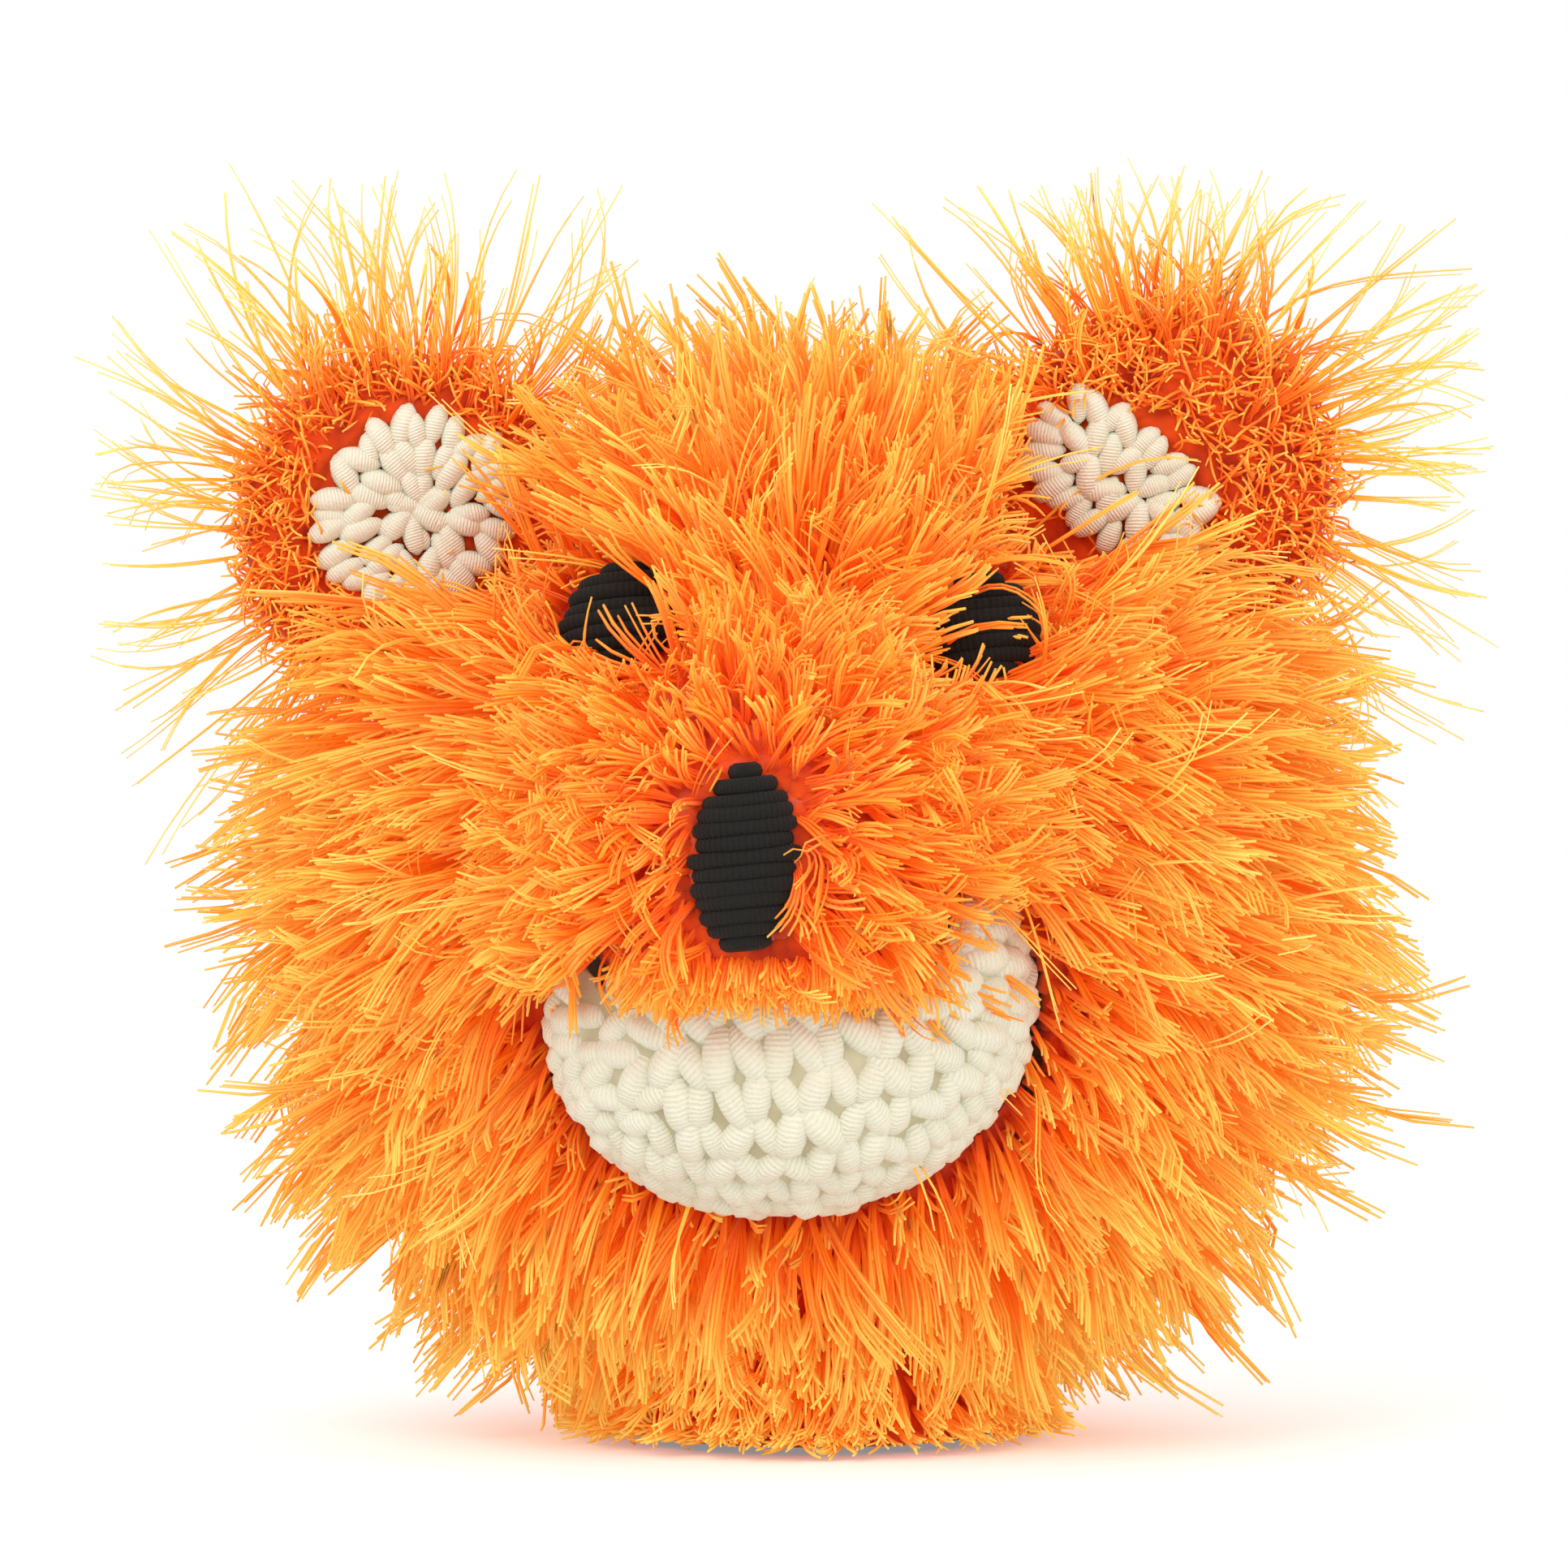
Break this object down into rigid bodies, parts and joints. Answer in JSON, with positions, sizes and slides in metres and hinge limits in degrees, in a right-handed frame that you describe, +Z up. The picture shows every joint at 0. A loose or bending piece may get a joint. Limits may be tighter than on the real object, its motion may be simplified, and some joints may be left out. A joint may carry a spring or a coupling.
{
  "type": "hand puppet head",
  "caption": "Crocheted animal-head hand puppet in shaggy eyelash yarn, with a cream chin on an opening jaw, a snout with a yarn nose, round yarn eyes and soft ears that flop.",
  "frame": {"origin": "centre of the bounding box's base, on the surface that the puppet stands on", "axes": "+Z up, -Y the way the face looks, +X the puppet's own left"},
  "size_m": [0.1766, 0.1318, 0.1724],
  "materials": {
    "fur_yarn": "shaggy orange eyelash yarn, crocheted",
    "cream_yarn": "cream worsted yarn, crocheted",
    "black_yarn": "black worsted yarn in parallel wraps",
    "lining_cloth": "plain woven cotton",
    "stuffing": "polyester fibre fill",
    "mouth_felt": "craft felt",
    "plate_board": "stiff board"
  },
  "bodies": {
    "head": {"head_shell": "fur_yarn", "neck_cuff": "fur_yarn", "hand_lining": "lining_cloth", "head_stuffing": "stuffing", "snout_cover": "fur_yarn", "snout_stuffing": "stuffing", "snout_seam_yarn": "fur_yarn", "upper_mouth_plate": "plate_board", "palate_felt": "mouth_felt", "mouth_hinge_cord": "cream_yarn", "throat_web": "fur_yarn", "nose": "black_yarn", "eye_left": "black_yarn", "eye_right": "black_yarn", "ear_seam_left": "fur_yarn", "ear_seam_right": "fur_yarn"},
    "jaw": {"jaw_cover": "cream_yarn", "jaw_stuffing": "stuffing", "jaw_felt": "mouth_felt", "lower_mouth_plate": "plate_board", "jaw_seam_yarn": "cream_yarn"},
    "ear_left": {"ear_shell_left": "fur_yarn", "ear_lining_left": "cream_yarn"},
    "ear_right": {"ear_shell_right": "fur_yarn", "ear_lining_right": "cream_yarn"}
  },
  "joints": [
    {"name": "jaw_open", "type": "hinge", "parent": "head", "child": "jaw", "pos_m": [0.00054, -0.00307, 0.067], "axis": [1, 0, 0], "range_deg": [0, 20], "stiffness_Nm_per_rad": 0.01, "springref_deg": -8.59, "deforming": ["throat_web"]},
    {"name": "ear_left_flop", "type": "hinge", "parent": "head", "child": "ear_left", "pos_m": [0.04186, 0.01193, 0.12408], "axis": [0.7547, 0, -0.6561], "range_deg": [-18, 18], "stiffness_Nm_per_rad": 0.01},
    {"name": "ear_right_flop", "type": "hinge", "parent": "head", "child": "ear_right", "pos_m": [-0.04013, 0.01193, 0.11877], "axis": [0.6639, 0, 0.7478], "range_deg": [-18, 18], "stiffness_Nm_per_rad": 0.01}
  ]
}
